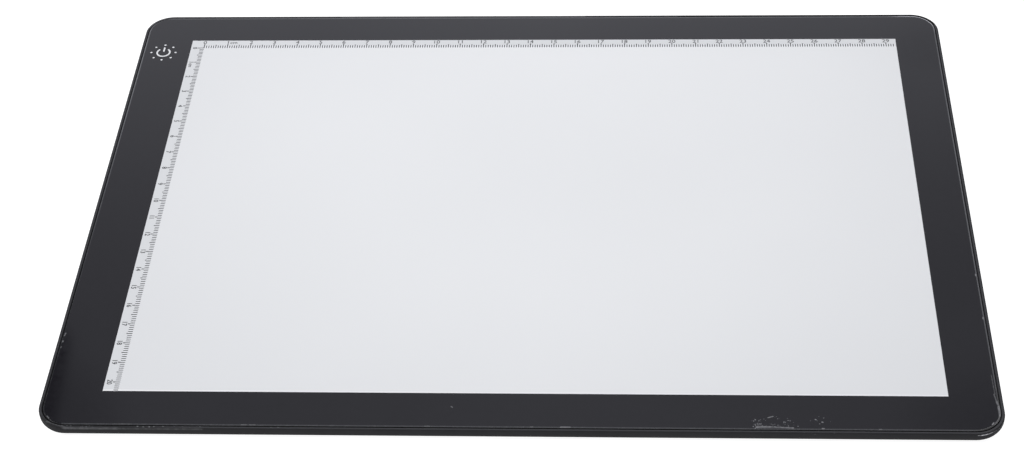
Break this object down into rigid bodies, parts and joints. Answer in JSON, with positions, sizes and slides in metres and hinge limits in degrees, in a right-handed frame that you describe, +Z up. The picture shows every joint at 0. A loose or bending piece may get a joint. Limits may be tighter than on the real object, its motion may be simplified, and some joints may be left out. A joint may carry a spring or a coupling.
{
  "type": "led tracing pad",
  "caption": "Thin rectangular light pad for tracing: a black tray and glossy border round a milky white window with a ruler on two sides and a touch key.",
  "frame": {"origin": "on the surface the pad rests on, under the middle of its outline", "axes": "+X along the long side to the right as used, +Y away from the user, +Z up; the touch key is at the far left corner"},
  "size_m": [0.34, 0.2454, 0.005],
  "materials": {
    "moulded_black": "fine satin moulding, worn along the lip",
    "panel_acrylic": "gloss acrylic with a black printed border and a milky white window",
    "film_white": "matt white film",
    "acrylic_clear": "polished clear acrylic with a fine dot pattern",
    "board_white": "white solder mask",
    "lamp_body": "white lamp housing with a yellow window",
    "insulation_red": "smooth PVC",
    "insulation_black": "smooth PVC",
    "board_green": "green solder mask",
    "tape_grey": "foam tape",
    "plated_steel": "tin-plated sheet",
    "insulator_black": "moulded insulator",
    "foam_grey": "conductive foam",
    "epoxy_black": "moulded epoxy",
    "ceramic_tan": "fired ceramic with tinned ends",
    "resistor_black": "glazed chip with tinned ends",
    "tape_white": "double-sided tape",
    "foot_rubber": "matt rubber"
  },
  "bodies": {
    "root": {"back_cover": "moulded_black", "front_panel": "panel_acrylic", "diffuser_sheet": "film_white", "light_guide": "acrylic_clear", "reflector_sheet": "film_white", "led_strip_far": "board_white", "led_strip_near": "board_white", "led_far_01": "lamp_body", "led_far_02": "lamp_body", "led_far_03": "lamp_body", "led_far_04": "lamp_body", "led_far_05": "lamp_body", "led_far_06": "lamp_body", "led_far_07": "lamp_body", "led_far_08": "lamp_body", "led_far_09": "lamp_body", "led_far_10": "lamp_body", "led_far_11": "lamp_body", "led_far_12": "lamp_body", "led_near_01": "lamp_body", "led_near_02": "lamp_body", "led_near_03": "lamp_body", "led_near_04": "lamp_body", "led_near_05": "lamp_body", "led_near_06": "lamp_body", "led_near_07": "lamp_body", "led_near_08": "lamp_body", "led_near_09": "lamp_body", "led_near_10": "lamp_body", "led_near_11": "lamp_body", "led_near_12": "lamp_body", "lead_plus_far": "insulation_red", "lead_minus_far": "insulation_black", "lead_plus_near": "insulation_red", "lead_minus_near": "insulation_black", "control_board": "board_green", "board_tape": "tape_grey", "usb_shell": "plated_steel", "usb_tongue": "insulator_black", "touch_pad": "foam_grey", "touch_chip": "epoxy_black", "driver_transistor": "epoxy_black", "capacitor_1": "ceramic_tan", "capacitor_2": "ceramic_tan", "resistor_1": "resistor_black", "resistor_2": "resistor_black", "panel_tape_far": "tape_white", "panel_tape_near": "tape_white", "panel_tape_right": "tape_white", "panel_tape_left_1": "tape_white", "panel_tape_left_2": "tape_white", "foot_1": "foot_rubber", "foot_2": "foot_rubber", "foot_3": "foot_rubber", "foot_4": "foot_rubber"}
  },
  "joints": []
}
